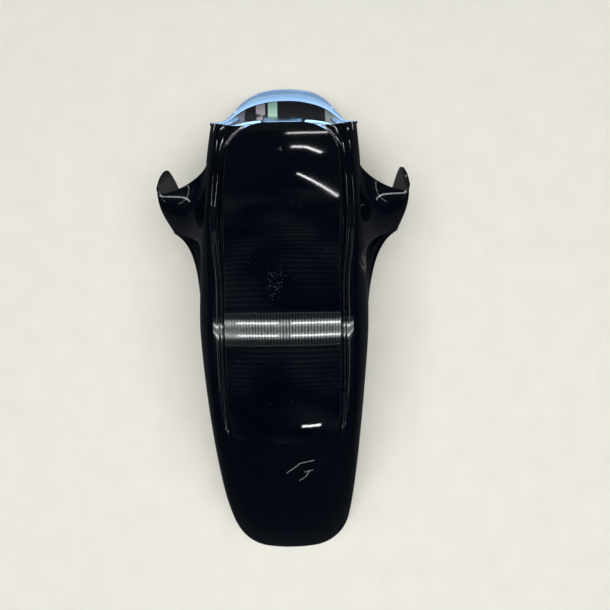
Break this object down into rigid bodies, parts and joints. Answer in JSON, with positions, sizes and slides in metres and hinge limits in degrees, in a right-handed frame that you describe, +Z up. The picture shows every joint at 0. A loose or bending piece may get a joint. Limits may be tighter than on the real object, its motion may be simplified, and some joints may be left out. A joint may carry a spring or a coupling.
{
  "type": "motorcycle front fender",
  "caption": "One-piece gloss black motorcycle front fender: long rounded nose, raised centre panel with side grooves, ears round the fork legs and a flared rear lip.",
  "frame": {"origin": "middle of the bounding box in plan, at the ground the shell stands on", "axes": "+Y along the fender to its rear lip, -Y to the nose, +X to the right side, +Z up out of the crown"},
  "size_m": [0.257, 0.564, 0.1718],
  "materials": {
    "shell": "deep gloss black paint outside, bare dark grey moulding inside"
  },
  "bodies": {
    "root": {"fender_shell": "shell"}
  },
  "joints": []
}
